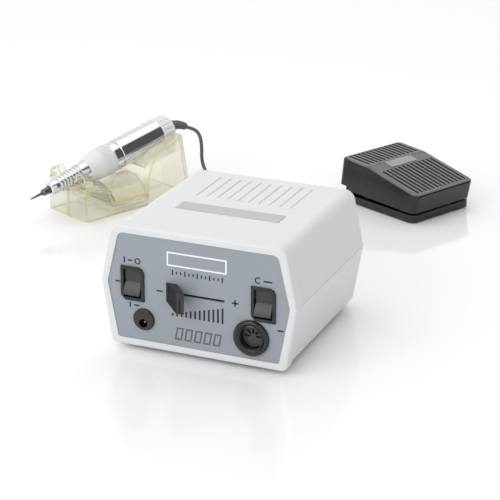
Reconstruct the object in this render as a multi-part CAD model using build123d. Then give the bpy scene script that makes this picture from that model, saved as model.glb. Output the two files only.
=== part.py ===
from build123d import *
import math
import os

# Electric nail drill: a mains control box, a handpiece lying in its cradle, and a foot pedal.
# Millimetres, +Z up, table at z = 0, origin under the middle of the whole set.

os.makedirs("parts", exist_ok=True)

# ---------------------------------------------------------------- driving dimensions
# Where each unit stands on the table
BOX_X, BOX_Y = 85.2, -215.5            # front face centre of the control box
STAND_X, STAND_Y, STAND_HEADING = -148.8, 23.1, 66.0   # cradle's front edge centre, pointing back
PEDAL_X, PEDAL_Y, PEDAL_HEADING = 155.5, 155.6, 154.4  # middle of the pedal's low end

# Control box casing: a six-sided front profile, widest at mid height
CASE_BASE_Z, CASE_MID_Z, CASE_TOP_Z = 4.7, 51.5, 94.6
CASE_BASE_HALF, CASE_MID_HALF, CASE_TOP_HALF = 67.2, 75.0, 65.8
CASE_DEPTH = 147.0
CASE_WALL = 2.5
BEZEL_DEPTH = 13.0                     # the front ring, one piece, proud of the case behind it
BEZEL_PROUD = 1.0
BEZEL_LIP = 4.6
PANEL_THICK, PANEL_INSET = 2.0, 0.8
PANEL_Y = PANEL_INSET                  # front surface of the panel

# Front controls (x, z on the panel)
ROCKER_X, ROCKER_Z = 50.6, 52.2
ROCKER_W, ROCKER_H = 18.4, 26.0
ROCKER_PIVOT_Y = PANEL_Y + 4.2
ROCKER_REST = -12.0                    # the cap's tip at rest, its top end pressed in
SLOT_HALF, SLOT_Z, SLOT_H = 20.8, 49.6, 1.9
KNOB_TRAVEL = 38.0
SOCKET_X, SOCKET_Z, SOCKET_R = 41.6, 25.6, 13.5
SOCKET_PROUD, SOCKET_BORE_R, SOCKET_BORE_DEPTH = 3.0, 8.2, 5.5
INSERT_R = 7.9
JACK_X, JACK_Z, JACK_R = -42.0, 25.8, 8.3
FOOT_X, FOOT_FRONT_Y, FOOT_REAR_Y, FOOT_R = 52.0, 22.0, 124.0, 8.0

# Handpiece: stations along its axis from the collet nose, and radii
HANDPIECE_TILT = 12.0
NOSE_X, NOSE_Z = -22.5, 28.1           # collet nose in the cradle's frame
CONE_START, CONE_END, BAND_START, BODY_START, BODY_END, CAP_END = 3.0, 44.5, 71.5, 80.0, 128.0, 144.0
CONE_TIP_R, CONE_BASE_R, GRIP_R, BODY_R, CAP_R = 5.8, 9.5, 14.2, 13.5, 13.9
BIT_R = 1.175
SHAFT_R = 3.0
RUNNING_FIT = 0.05
RELIEF_RADIUS, RELIEF_TURN = 27.5, 45.0

# Cradle
STAND_HALF, STAND_LENGTH, STAND_WALL = 27.0, 122.0, 2.2
CHANNEL_R = 14.3
YOKE_OUTLINE = [(70, 0), (71, 25), (75.5, 38), (82, 46), (111.5, 58.5), (STAND_LENGTH, 0)]

# Foot pedal: u runs from the low end, v across
PEDAL_HALF, PEDAL_LENGTH, PEDAL_BASE_Z = 37.2, 92.0, 7.6
PEDAL_WALL = 2.4
PEDAL_PIVOT_U, PEDAL_PIVOT_Z, PEDAL_PIN_R = 8.0, 11.5, 1.5
TREADLE_BAND_U, TREADLE_BAND_Z = 51.5, 38.26   # middle of the smooth band across the top
GLAND_U, GLAND_Z = 9.0, 4.6

# Free cord
CORD_D = 3.4
CORD_REST_Z = CORD_D / 2 + 0.02
PLUG_R, PLUG_HEADING = 7.8, -56.5
PLUG_AT = (80.6, 43.2, PLUG_R + 0.02)
COIL_X, COIL_Y, COIL_R, COIL_SIDE, COIL_Z = 42.2, 76.8, 19.0, 10.4, 0.8

BOX = Pos(BOX_X, BOX_Y, 0)
STAND = Pos(STAND_X, STAND_Y, 0) * Rot(0, 0, STAND_HEADING)
HANDPIECE = STAND * Pos(NOSE_X, 0, NOSE_Z) * Rot(0, -HANDPIECE_TILT, 0)
PEDAL = Pos(PEDAL_X, PEDAL_Y, 0) * Rot(0, 0, PEDAL_HEADING)

parts = {}


# ---------------------------------------------------------------- shared shapes
def box_between(low, high):
    """A plain block between two corners."""
    size = [high[i] - low[i] for i in range(3)]
    middle = [(high[i] + low[i]) / 2 for i in range(3)]
    return Pos(*middle) * Box(*size)


def rod(x, y, z, radius, length, axis="z"):
    """A cylinder that starts at a point and runs along +X, +Y or +Z."""
    turn = {"x": Rot(0, 90, 0), "y": Rot(-90, 0, 0), "z": Rot(0, 0, 0)}[axis]
    aligned = Cylinder(radius, length, align=(Align.CENTER, Align.CENTER, Align.MIN))
    return Pos(x, y, z) * turn * aligned


def turned(*outline):
    """A turned piece about the X axis, from (station, radius) corners."""
    return revolve(Plane.XZ * Polygon(*outline, align=None), Axis.X)


def side_prism(outline, half_width):
    """A prism across Y from a side outline of (x, z) corners."""
    face = Plane.XZ * Polygon(*outline, align=None)
    return extrude(face, amount=half_width, both=True)


def rounded_block(low, high, radius, edges_along=Axis.Z):
    """A block whose four edges along one axis are rounded."""
    block = box_between(low, high)
    return fillet(block.edges().filter_by(edges_along), radius)


def joined(pieces):
    """Loose solids kept together in one node."""
    return Compound(children=list(pieces))


# ---------------------------------------------------------------- control box casing
def case_profile(grow, corner_top, corner_side, corner_base):
    """The six-sided front profile, grown outwards, on the plane y = 0."""
    points = [
        (-CASE_BASE_HALF - grow, CASE_BASE_Z - grow),
        (CASE_BASE_HALF + grow, CASE_BASE_Z - grow),
        (CASE_MID_HALF + grow, CASE_MID_Z),
        (CASE_TOP_HALF + grow, CASE_TOP_Z + grow),
        (-CASE_TOP_HALF - grow, CASE_TOP_Z + grow),
        (-CASE_MID_HALF - grow, CASE_MID_Z),
    ]
    face = Polygon(*points, align=None)
    corners = face.vertices().sort_by(Axis.Y)
    face = fillet(corners[0:2], corner_base)
    face = fillet(face.vertices().filter_by(lambda v: abs(v.Y - CASE_MID_Z) < 1), corner_side)
    face = fillet(face.vertices().filter_by(lambda v: v.Y > CASE_TOP_Z + grow - 0.1), corner_top)
    return Plane.XZ * face


def case_prism(grow, y0, y1, corner_top=9.0, corner_side=3.0, corner_base=5.0):
    """The profile drawn back from depth y0 to depth y1."""
    face = Pos(0, y0, 0) * case_profile(grow, corner_top, corner_side, corner_base)
    return extrude(face, amount=y1 - y0, dir=(0, 1, 0))


def case_body():
    """The solid outer form behind the front ring, with its back edges rounded."""
    body = case_prism(0, BEZEL_DEPTH, CASE_DEPTH)
    back_edges = body.faces().sort_by(Axis.Y)[-1].edges()
    return fillet(back_edges, 7.0)


def case_shell():
    """Both case halves in one, hollow, before they are parted."""
    inner = case_prism(-CASE_WALL, BEZEL_DEPTH - 1, CASE_DEPTH - CASE_WALL, 7.0, 2.0, 3.5)
    return case_body() - inner


def vent_grooves():
    """Ten shallow grooves along the top."""
    count, pitch, length, width, depth = 10, 8.35, 46.0, 1.8, 0.9
    slots = []
    for i in range(count):
        x = (i - (count - 1) / 2) * pitch
        outline = SlotOverall(length, width, rotation=90)
        slots.append(extrude(Pos(x, 107.5, CASE_TOP_Z - depth) * outline, depth + 1))
    return slots


def make_casing():
    shell = case_shell()
    split = box_between((-90, -10, CASE_MID_Z), (90, 160, 110))
    upper = shell & split
    lower = shell - split
    for groove in vent_grooves():
        upper -= groove
    screw_places = [(x, y) for x in (-FOOT_X, FOOT_X) for y in (40.0, 112.0)]
    for x, y in screw_places:
        upper += rod(x, y, CASE_MID_Z, 4.0, CASE_TOP_Z - CASE_WALL - CASE_MID_Z + 0.5)
        upper -= rod(x, y, CASE_MID_Z - 1, 1.62, 12)
        lower += rod(x, y, CASE_BASE_Z + 1, 4.5, CASE_MID_Z - CASE_BASE_Z - 1)
        lower -= rod(x, y, CASE_BASE_Z - 1, 1.62, 60)
        lower -= rod(x, y, CASE_BASE_Z - 1, 3.4, 5)
    # Air slots in the floor, under the transformer
    for i in range(5):
        lower -= box_between((-20, 66 + i * 9, CASE_BASE_Z - 1), (20, 69 + i * 9, CASE_BASE_Z + 4))
    # Back wall openings for the mains lead and the fuse
    lower -= rod(-40, CASE_DEPTH - 4, 30, 7.02, 8, "y")
    lower -= rod(-10, CASE_DEPTH - 4, 30, 6.02, 8, "y")
    for x in (-FOOT_X, FOOT_X):
        for y in (FOOT_FRONT_Y, FOOT_REAR_Y):
            lower -= rod(x, y, CASE_BASE_Z - 1, FOOT_R, 2)
    label_recess = box_between((-40.6, 51, CASE_TOP_Z - 0.4), (40.6, 67, CASE_TOP_Z + 1))
    parts["upper_case"] = BOX * (upper - label_recess)
    parts["lower_case"] = BOX * lower
    parts["top_label"] = BOX * box_between((-40.4, 51.2, CASE_TOP_Z - 0.38), (40.4, 66.8, CASE_TOP_Z + 0.2))
    screws = []
    for x, y in screw_places:
        head = rod(x, y, CASE_BASE_Z + 1.6, 3.1, 2.4)
        cross = box_between((x - 2, y - 0.35, 0), (x + 2, y + 0.35, CASE_BASE_Z + 2.6))
        screws.append(head + rod(x, y, CASE_BASE_Z + 3, 1.55, 52) - cross)
    parts["case_screws"] = BOX * joined(screws)
    feet = []
    for x in (-FOOT_X, FOOT_X):
        for y in (FOOT_FRONT_Y, FOOT_REAR_Y):
            foot = rod(x, y, 0, FOOT_R - 0.1, CASE_BASE_Z + 0.98)
            feet.append(chamfer(foot.faces().sort_by(Axis.Z)[0].edges(), 1.0))
    parts["case_feet"] = BOX * joined(feet)


def make_front():
    """The white front ring and the grey panel that it holds."""
    flared = case_prism(BEZEL_PROUD, 0, 9.0)
    flared = fillet(flared.faces().sort_by(Axis.Y)[0].edges(), 2.0)
    neck = loft([
        Pos(0, 9.0, 0) * case_profile(BEZEL_PROUD, 9.0, 3.0, 5.0),
        Pos(0, BEZEL_DEPTH, 0) * case_profile(0, 9.0, 3.0, 5.0),
    ])
    window = case_prism(-BEZEL_LIP, -1, 20, 5.0, 1.5, 2.0)
    seat = case_prism(-BEZEL_LIP + 1.6, PANEL_Y, 20, 6.0, 1.5, 2.5)
    parts["front_bezel"] = BOX * (flared + neck - window - seat)
    panel = case_prism(-BEZEL_LIP + 1.5, PANEL_Y, PANEL_Y + PANEL_THICK, 6.0, 1.5, 2.5)
    for side in (-1, 1):
        x = side * ROCKER_X
        half_w, half_h = ROCKER_W / 2 - 1.2, ROCKER_H / 2 - 1.2
        panel -= box_between((x - half_w, -2, ROCKER_Z - half_h), (x + half_w, 6, ROCKER_Z + half_h))
    slot_top = (SLOT_HALF, 6, SLOT_Z + SLOT_H / 2)
    panel -= box_between((-SLOT_HALF, -2, SLOT_Z - SLOT_H / 2), slot_top)
    panel -= rod(SOCKET_X, -2, SOCKET_Z, SOCKET_R - 2.5, 8, "y")
    panel -= rod(JACK_X, -2, JACK_Z, JACK_R - 2.0, 8, "y")
    parts["front_panel"] = BOX * panel


# ---------------------------------------------------------------- switches, slider, sockets
def rocker_frame(x):
    """A snap-in switch housing: a bezel with two cut corners, and a hollow body behind it."""
    half_w, half_h, cut = ROCKER_W / 2, ROCKER_H / 2, 3.6
    left, right, low, high = x - half_w, x + half_w, ROCKER_Z - half_h, ROCKER_Z + half_h
    outline = [
        (left + cut, low), (right, low), (right, high - cut), (right - cut, high),
        (left, high), (left, low + cut),
    ]
    proud = 1.5
    bezel = extrude(Pos(0, PANEL_Y - proud, 0) * (Plane.XZ * Polygon(*outline, align=None)),
                    amount=proud, dir=(0, 1, 0))
    body = box_between((left + 1.3, PANEL_Y, low + 1.3), (right - 1.3, PANEL_Y + 20, high - 1.3))
    hollow = box_between((left + 2.4, -5, low + 2.4), (right - 2.4, PANEL_Y + 16, high - 2.4))
    return bezel + body - hollow


def rocker_cap(x):
    """The tilting cap: two faces that meet at a shallow crease, tipped so its top is pressed in."""
    half_w, half_h = ROCKER_W / 2 - 2.8, ROCKER_H / 2 - 3.8
    outline = [(-half_h, -5.0), (-half_h + 1.0, -6.0), (-1.5, -4.0), (1.5, -4.0),
               (half_h - 1.0, -6.0), (half_h, -5.0), (half_h - 1.2, 5.0), (-half_h + 1.2, 5.0)]
    face = Plane.YZ * Polygon(*[(y, z) for z, y in outline], align=None)
    cap = extrude(face, amount=half_w, both=True)
    return Pos(x, ROCKER_PIVOT_Y, ROCKER_Z) * Rot(ROCKER_REST, 0, 0) * cap


def make_controls():
    for name, x in (("power", -ROCKER_X), ("direction", ROCKER_X)):
        parts[name + "_switch_housing"] = BOX * rocker_frame(x)
        parts[name + "_rocker"] = BOX * rocker_cap(x)
    pot_y = PANEL_Y + PANEL_THICK + 0.2
    pot = box_between((-30, pot_y, SLOT_Z - 4.5), (30, pot_y + 8, SLOT_Z + 4.5))
    pot -= box_between((-SLOT_HALF - 1, pot_y - 1, SLOT_Z - 1.6), (SLOT_HALF + 1, pot_y + 6, SLOT_Z + 1.6))
    parts["slide_pot_body"] = BOX * pot
    stem_x = -KNOB_TRAVEL / 2
    stem = box_between((stem_x - 1.5, PANEL_Y - 3, SLOT_Z - 0.8), (stem_x + 1.5, pot_y + 5.5, SLOT_Z + 0.8))
    parts["speed_stem"] = BOX * stem
    parts["speed_knob"] = BOX * (speed_knob(stem_x) - stem)


def speed_knob(stem_x):
    """A leaning thumb grip: a long ribbed flank on the left, a narrow front with a pointer groove."""
    base_y, front_y = PANEL_Y - 0.4, PANEL_Y - 13.0
    base = [(stem_x - 5.0, base_y), (stem_x + 9.0, base_y)]
    front = [(stem_x + 16.6, front_y), (stem_x + 9.6, front_y)]
    plan = Polygon(*base, *front, align=None)
    knob = extrude(Pos(0, 0, SLOT_Z - 8.4) * plan, amount=16.2, dir=(0, 0, 1))
    # The top and the underside both fall away towards the panel
    beyond_y = front_y - 1
    top = [(base_y, SLOT_Z + 7.0), (base_y, SLOT_Z + 9), (beyond_y, SLOT_Z + 9), (beyond_y, SLOT_Z + 7.9)]
    low = [(base_y, SLOT_Z - 6.4), (base_y, SLOT_Z - 9), (beyond_y, SLOT_Z - 9), (beyond_y, SLOT_Z - 8.5)]
    for wedge in (top, low):
        face = Plane.YZ * Polygon(*wedge, align=None)
        knob -= Pos(stem_x, 0, 0) * extrude(face, amount=30, both=True)
    slope = Plane(origin=(stem_x - 5.0, base_y, SLOT_Z), x_dir=(14.6, front_y - base_y, 0),
                  z_dir=(front_y - base_y, -14.6, 0))
    for i in range(7):
        z = (i - 3) * 2.1
        rib = Pos(9.5, z, 0) * Box(16, 0.9, 1.0)
        knob -= slope * rib
    pointer_x = stem_x + 13.6
    groove_end = (pointer_x + 0.5, front_y + 0.6, SLOT_Z + 3.6)
    knob -= box_between((pointer_x - 0.5, beyond_y, SLOT_Z - 9), groove_end)
    return knob


def make_sockets():
    x, z, r = SOCKET_X, SOCKET_Z, SOCKET_R
    front_y = PANEL_Y - SOCKET_PROUD
    insert_y = front_y + SOCKET_BORE_DEPTH
    ring = rod(x, front_y, z, r, SOCKET_PROUD, "y")
    ring = fillet(ring.faces().sort_by(Axis.Y)[0].edges(), 1.8)
    ring += rod(x, PANEL_Y - 0.01, z, r - 2.6, 12, "y")
    ring -= rod(x, front_y - 1, z, SOCKET_BORE_R, SOCKET_BORE_DEPTH + 1, "y")
    ring -= rod(x, -10, z, INSERT_R + 0.02, 30, "y")
    parts["handpiece_socket_ring"] = BOX * ring
    insert = rod(x, insert_y, z, INSERT_R, 6.0, "y")
    for i in range(5):
        angle = math.radians(i * 45)
        insert -= rod(x + 4.6 * math.cos(angle), insert_y - 1, z + 4.6 * math.sin(angle), 0.8, 6, "y")
    key_end = (x + 1.3, insert_y + 2, z - INSERT_R + 2)
    insert -= box_between((x - 1.3, insert_y - 1, z - INSERT_R - 1), key_end)
    parts["handpiece_socket_insert"] = BOX * insert
    ring = rod(JACK_X, PANEL_Y - 2.0, JACK_Z, JACK_R, 2.0, "y")
    ring = fillet(ring.faces().sort_by(Axis.Y)[0].edges(), 1.2)
    ring += rod(JACK_X, PANEL_Y - 0.01, JACK_Z, JACK_R - 2.1, 14, "y")
    ring -= rod(JACK_X, -10, JACK_Z - 2.6, 3.3, 40, "y")
    parts["pedal_jack_ring"] = BOX * ring
    pin = rod(JACK_X, PANEL_Y + 0.6, JACK_Z - 2.6, 1.0, 12, "y")
    pin += rod(JACK_X, PANEL_Y + 9.4, JACK_Z - 2.6, 3.28, 2.0, "y")
    parts["pedal_jack_pin"] = BOX * fillet(pin.faces().sort_by(Axis.Y)[0].edges(), 0.5)
    gland = rod(-40, CASE_DEPTH - 7, 30, 7.0, 7, "y") + rod(-40, CASE_DEPTH, 30, 8.6, 3, "y")
    gland += rod(-40, CASE_DEPTH - 10, 30, 8.4, 3, "y") + rod(-40, CASE_DEPTH + 2.9, 30, 6.0, 6, "y")
    parts["mains_gland"] = BOX * (gland - rod(-40, CASE_DEPTH - 20, 30, 3.6, 40, "y"))
    fuse = rod(-10, CASE_DEPTH - 32, 30, 6.0, 32, "y") + rod(-10, CASE_DEPTH, 30, 7.6, 4, "y")
    fuse -= box_between((-15, CASE_DEPTH + 3, 29.4), (-5, CASE_DEPTH + 6, 30.6))
    parts["fuse_holder"] = BOX * fuse


# ---------------------------------------------------------------- inside the control box
def make_electronics():
    floor = CASE_BASE_Z + CASE_WALL
    core_low, core_high = (-29, 72, floor), (29, 104, floor + 48)
    core = box_between(core_low, core_high)
    core -= box_between((-20, 60, floor + 9), (-9.5, 120, floor + 39))
    core -= box_between((9.5, 60, floor + 9), (20, 120, floor + 39))
    parts["transformer_core"] = BOX * core
    coil = rounded_block((-19.6, 63, floor + 9.4), (19.6, 113, floor + 38.6), 6.0)
    coil -= box_between((-9.6, 71.9, floor), (9.6, 104.1, floor + 60))
    coil -= box_between((-60, 71.9, floor + 38.5), (60, 104.1, floor + 60))
    parts["transformer_coil"] = BOX * coil
    board_z = floor + 6
    board = box_between((-44, 20, board_z), (44, 58, board_z + 1.6))
    posts = []
    for x in (-40, 40):
        for y in (24, 54):
            board -= rod(x, y, board_z - 1, 1.5, 4)
            posts.append(rod(x, y, floor + 0.02, 3.0, 5.96))
    parts["circuit_board"] = BOX * joined([board] + posts)
    caps = [rod(-30, 40, board_z + 1.62, 6.5, 20), rod(-12, 44, board_z + 1.62, 5.0, 14),
            rod(2, 34, board_z + 1.62, 4.0, 11)]
    parts["board_capacitors"] = BOX * joined(caps)
    sink = box_between((14, 26, board_z + 1.62), (17, 54, board_z + 26))
    for i in range(5):
        y = 27 + i * 6
        sink += box_between((16.9, y, board_z + 1.62), (27, y + 1.6, board_z + 26))
    parts["heat_sink"] = BOX * sink
    chip = box_between((9.4, 35, board_z + 5), (13.98, 45, board_z + 20))
    for i in range(3):
        y = 37.4 + i * 2.6
        chip += box_between((11, y - 0.4, board_z + 1.62), (11.8, y + 0.4, board_z + 5.1))
    parts["drive_transistor"] = BOX * chip


# ---------------------------------------------------------------- handpiece
def cone_radius(station):
    """Outer radius of the chrome nose at a station along the axis."""
    share = (station - CONE_START) / (CONE_END - CONE_START)
    return CONE_TIP_R + share * (CONE_BASE_R - CONE_TIP_R)


def nose_cone():
    outer = turned((CONE_START, 0), (CONE_START, CONE_TIP_R - 1.2), (CONE_START + 0.8, CONE_TIP_R),
                   (CONE_END, CONE_BASE_R), (CONE_END, 7.5), (CONE_END + 8, 7.5), (CONE_END + 8, 0))
    grooves = [(9.0, 3.6)] + [(15.0 + i * 3.3, 1.3) for i in range(7)]
    for start, width in grooves:
        floor = cone_radius(start) - 0.7
        outer -= turned((start, floor), (start, 20), (start + width, 20), (start + width, floor))
    bore = turned((0, 0), (0, 3.7), (7, 3.7), (7, 4.62), (60, 4.62), (60, 0))
    rear_seat = turned((37.9, 0), (37.9, 6.52), (60, 6.52), (60, 0))
    return outer - bore - rear_seat


def make_handpiece():
    shank = turned((-17.6, 0), (-17.2, 0.5), (-15.5, 0.75), (-7.5, BIT_R), (24, BIT_R), (24, 0))
    parts["drill_bit"] = HANDPIECE * shank
    collet = turned((-5.2, 0), (-5.2, 1.8), (-3.2, 3.1), (2.6, 3.2), (3.4, 2.6), (3.4, 2.0),
                    (28, 2.0), (28, 0))
    collet -= turned((-6, 0), (-6, BIT_R + 0.02), (26, BIT_R + 0.02), (26, 0))
    parts["collet"] = HANDPIECE * collet
    parts["nose_cone"] = HANDPIECE * nose_cone()
    shaft = turned((5.2, 0), (5.2, SHAFT_R), (66, SHAFT_R), (66, 0))
    shaft -= turned((5, 0), (5, 2.04), (40, 2.04), (40, 0))
    parts["spindle_shaft"] = HANDPIECE * shaft
    bearings = []
    for start, radius in ((12.0, 4.6), (38.0, 6.5)):
        inner, end = SHAFT_R + 0.04, start + 4
        bearings.append(turned((start, inner), (start, radius), (end, radius), (end, inner)))
    parts["spindle_bearings"] = HANDPIECE * joined(bearings)
    grip = turned((CONE_END, 9.26), (CONE_END, 9.9), (47, 11.2), (58, 13.4), (66, GRIP_R), (70.4, GRIP_R),
                  (BAND_START, GRIP_R - 0.8), (BAND_START, 9.26))
    for i in range(24):
        cutter = Pos(66.4, GRIP_R + 0.35, 0) * Rot(0, 90, 0) * Cylinder(0.9, 8)
        grip -= Rot(i * 15, 0, 0) * cutter
    parts["grip_sleeve"] = HANDPIECE * grip
    parts["barrel_liner"] = HANDPIECE * turned(
        (CONE_END + 0.02, 7.55), (CONE_END + 0.02, 9.2), (BODY_START, 9.2), (BODY_START, 12.0),
        (BODY_START + 2, 12.0), (BODY_START + 2, 9.2), (92, 9.2), (92, 7.55))
    parts["lock_ring"] = HANDPIECE * turned(
        (BAND_START + 0.2, 9.2 + RUNNING_FIT), (BAND_START + 0.2, BODY_R - 0.4), (BAND_START + 0.6, BODY_R),
        (BODY_START - 1.1, BODY_R), (BODY_START - 0.7, BODY_R - 0.4), (BODY_START - 0.7, 9.2 + RUNNING_FIT))
    parts["body_tube"] = HANDPIECE * turned(
        (BODY_START, 12.05), (BODY_START, BODY_R - 0.6), (BODY_START + 0.6, BODY_R), (BODY_END, BODY_R),
        (BODY_END, 12.05))
    motor = turned((93, 10.6), (93, 11.9), (124, 11.9), (124, 0), (122.6, 0), (122.6, 10.6))
    parts["motor_can"] = HANDPIECE * (motor - turned((120, 0), (120, 1.56), (126, 1.56), (126, 0)))
    magnets = turned((96, 8.6), (96, 10.5), (120, 10.5), (120, 8.6))
    gap = box_between((90, -14, -2.5), (130, 14, 2.5))
    parts["motor_magnets"] = HANDPIECE * joined((magnets - gap).solids())
    rotor = turned((76, 0), (76, 1.5), (97, 1.5), (97, 8.0), (113, 8.0), (113, 4.0), (120, 4.0),
                   (120, 1.5), (126.5, 1.5), (126.5, 0))
    for i in range(5):
        slot = Pos(105, 6.6, 0) * Box(18, 3.2, 1.2)
        rotor -= Rot(i * 72, 0, 0) * slot
    parts["motor_rotor"] = HANDPIECE * rotor
    coupling = turned((66, 0), (66, 5.0), (86, 5.0), (86, 0))
    coupling -= turned((75.9, 0), (75.9, 1.5), (90, 1.5), (90, 0))
    parts["shaft_coupling"] = HANDPIECE * coupling
    brushes = turned((124.1, 0), (124.1, 11.9), (126.9, 11.9), (126.9, 0))
    parts["brush_holder"] = HANDPIECE * (brushes - turned((120, 0), (120, 1.58), (130, 1.58), (130, 0)))
    parts["collet_spring"] = HANDPIECE * turned((52.5, 5.6), (52.5, 7.2), (64.5, 7.2), (64.5, 5.6))
    make_handpiece_rear()


def make_handpiece_rear():
    cap = turned((BODY_END, 0), (BODY_END, CAP_R - 0.5), (BODY_END + 0.6, CAP_R), (CAP_END - 4, CAP_R - 0.3),
                 (CAP_END - 1, CAP_R - 2.6), (CAP_END, CAP_R - 4.4), (CAP_END, 0))
    cap -= turned((BODY_END - 1, 0), (BODY_END - 1, 11.0), (CAP_END - 6, 11.0), (CAP_END - 6, 0))
    for i in range(18):
        flute = Pos(137.5, CAP_R + 1.0, 0) * Rot(0, 90, 0) * Cylinder(1.9, 16)
        cap -= Rot(i * 20, 0, 0) * flute
    cap -= turned((130, 0), (130, 4.26), (150, 4.26), (150, 0))
    parts["rear_cap"] = HANDPIECE * cap
    parts["strain_relief"] = HANDPIECE * strain_relief()


def strain_relief():
    """A ribbed tapered sleeve that starts along the axis and droops with the cord."""
    plug = turned((CAP_END - 8, 0), (CAP_END - 8, 6.0), (CAP_END - 6.05, 6.0), (CAP_END - 6.05, 4.2),
                  (CAP_END, 4.2), (CAP_END, 0))
    steps = 9
    sleeve = plug
    for i in range(steps):
        start, end = relief_plane(i / steps), relief_plane((i + 1) / steps)
        radius = 4.2 - 0.9 * i / steps
        sleeve += loft([start * Circle(radius), end * Circle(radius - 0.1)])
        if i < steps - 1:
            collar = Plane(origin=end.origin, z_dir=end.z_dir)
            sleeve += extrude(collar * Circle(radius + 0.35), amount=0.6, both=True)
    return sleeve


def relief_plane(share):
    """The plane across the relief, a share of the way along its arc."""
    turn = math.radians(RELIEF_TURN) * share
    x = CAP_END + RELIEF_RADIUS * math.sin(turn)
    z = -RELIEF_RADIUS * (1 - math.cos(turn))
    return Plane(origin=(x, 0, z), z_dir=(math.cos(turn), 0, -math.sin(turn)))


# ---------------------------------------------------------------- cradle
def handpiece_axis_z(x):
    """Height of the handpiece's axis over a place along the cradle."""
    return NOSE_Z + (x - NOSE_X) * math.tan(math.radians(HANDPIECE_TILT))


def cradle_fork():
    """The front block: a hollow box with a notch between two rounded ears."""
    half, top, ear_top, inner = STAND_HALF, 30.0, 41.5, 8.8
    ear_r = (half - inner) / 2 - 1
    block = side_prism([(0, 0), (1.5, top), (9.5, top), (29, 24), (29, 0)], half)
    block = fillet(block.edges().filter_by(lambda e: abs((e @ 0).Z - (e @ 1).Z) > 20), 2.0)
    ears = []
    for side in (-1, 1):
        ear = box_between((1.4, -half + 1.2, 20), (9.4, -inner, ear_top - ear_r))
        ear += rod(1.4, -(half - 1.2 + inner) / 2, ear_top - ear_r, (half - 1.2 - inner) / 2, 8, "x")
        ears.append(ear if side < 0 else mirror(ear, Plane.XZ))
    return block + ears[0] + ears[1]


def cradle_yoke():
    """The rear block, whose two tall wings stand beside the handpiece."""
    return side_prism(YOKE_OUTLINE, STAND_HALF)


def make_cradle():
    wall = STAND_WALL
    solid = cradle_fork() + cradle_yoke() + box_between((27, -STAND_HALF, 0), (72, STAND_HALF, 12))
    inner_half = STAND_HALF - wall
    fork_hollow = side_prism([(wall, -1), (wall + 1.4, 27.6), (9, 27.6), (27, 21.6), (27, -1)], inner_half)
    yoke_hollow = side_prism([(72.5, -1), (73.4, 25), (77.8, 37), (83.5, 43.4), (110, 55), (119.5, -1)],
                             inner_half)
    lining = side_prism(YOKE_OUTLINE, CHANNEL_R + wall)
    below = [(60, -5), (130, -5), (130, yoke_floor(130) - wall), (60, yoke_floor(60) - wall)]
    lining -= side_prism(below, 40)
    tray_hollow = box_between((26, -inner_half, -1), (73, inner_half, 5))
    tray_top = box_between((31, -inner_half, 5 + wall), (70.5, inner_half, 20))
    body = solid - fork_hollow - yoke_hollow - tray_hollow - tray_top
    body += lining & cradle_yoke()
    body += cradle_vault() + cradle_rib()
    cutter = Pos(NOSE_X, 0, NOSE_Z) * Rot(0, -HANDPIECE_TILT, 0) * turned(
        (0, 0), (0, 6.3), (CONE_START + 0.5, 6.3), (CONE_END, 10.1), (CONE_END, CHANNEL_R + 0.8),
        (76, CHANNEL_R + 0.8), (76, CHANNEL_R), (180, CHANNEL_R), (180, 0))
    body -= cutter
    body -= lifted_gap()
    parts["cradle"] = STAND * body


def yoke_floor(x):
    """Height of the channel's bottom in the rear block."""
    return handpiece_axis_z(x) - CHANNEL_R / math.cos(math.radians(HANDPIECE_TILT))


def lifted_gap():
    """The open space above the handpiece, so it lifts straight out."""
    yoke = side_prism([(60, handpiece_axis_z(60)), (130, handpiece_axis_z(130)), (130, 90), (60, 90)],
                      CHANNEL_R)
    fork = side_prism([(-5, handpiece_axis_z(-5)), (12, handpiece_axis_z(12)), (12, 60), (-5, 60)], 8.8)
    return yoke + fork


def cradle_vault():
    """A thin barrel vault over the tray, along the cradle."""
    outer, rise, foot_z = STAND_HALF - STAND_WALL, 13.0, 12.0
    radius = (outer ** 2 + rise ** 2) / (2 * rise)
    centre_z = foot_z + rise - radius
    shell = rod(35, 0, centre_z, radius, 37, "x") - rod(30, 0, centre_z, radius - 1.8, 60, "x")
    return shell & box_between((30, -outer - 0.1, foot_z - 1.8), (80, outer + 0.1, 40))


def cradle_rib():
    """A centre rib down the front of the fork."""
    return side_prism([(-0.9, 0), (0.4, 24), (3, 24), (3, 0)], 1.2)


# ---------------------------------------------------------------- foot pedal
def treadle_form(inset):
    """The treadle's outer form, or the hollow inside it: leaning ends, cut by the two top slopes."""
    low_z, high_z, half = 8.0, 46.0, PEDAL_HALF + 0.4 - inset

    def end_at(z):
        """Where the low end's and the high end's leaning faces stand at one height."""
        return 0.0 - 0.21 * (z - 8.7) + inset, 93.2 - 0.12 * (z - 15.6) - inset

    faces = []
    for z in (low_z, high_z):
        near, far = end_at(z)
        plan = RectangleRounded(far - near, 2 * half, 6.0 - inset)
        faces.append(Pos((near + far) / 2, 0, z) * plan)
    outline = Polygon(
        (-30, 8.7 - inset * 4), (-30, 21.3 - inset), (57.0, 39.4 - inset), (86.5, 41.0 - inset),
        (120, 37.0 - inset), (120, 15.4), (79.0, 15.0), (77.0, 11.3 - inset * 4), align=None)
    outline = fillet(outline.vertices().filter_by(lambda v: 50 < v.X < 60), 25.0)
    outline = fillet(outline.vertices().filter_by(lambda v: 80 < v.X < 90 and v.Y > 30), 8.0)
    return loft(faces) & extrude(Plane.XZ * outline, amount=60, both=True)


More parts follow.
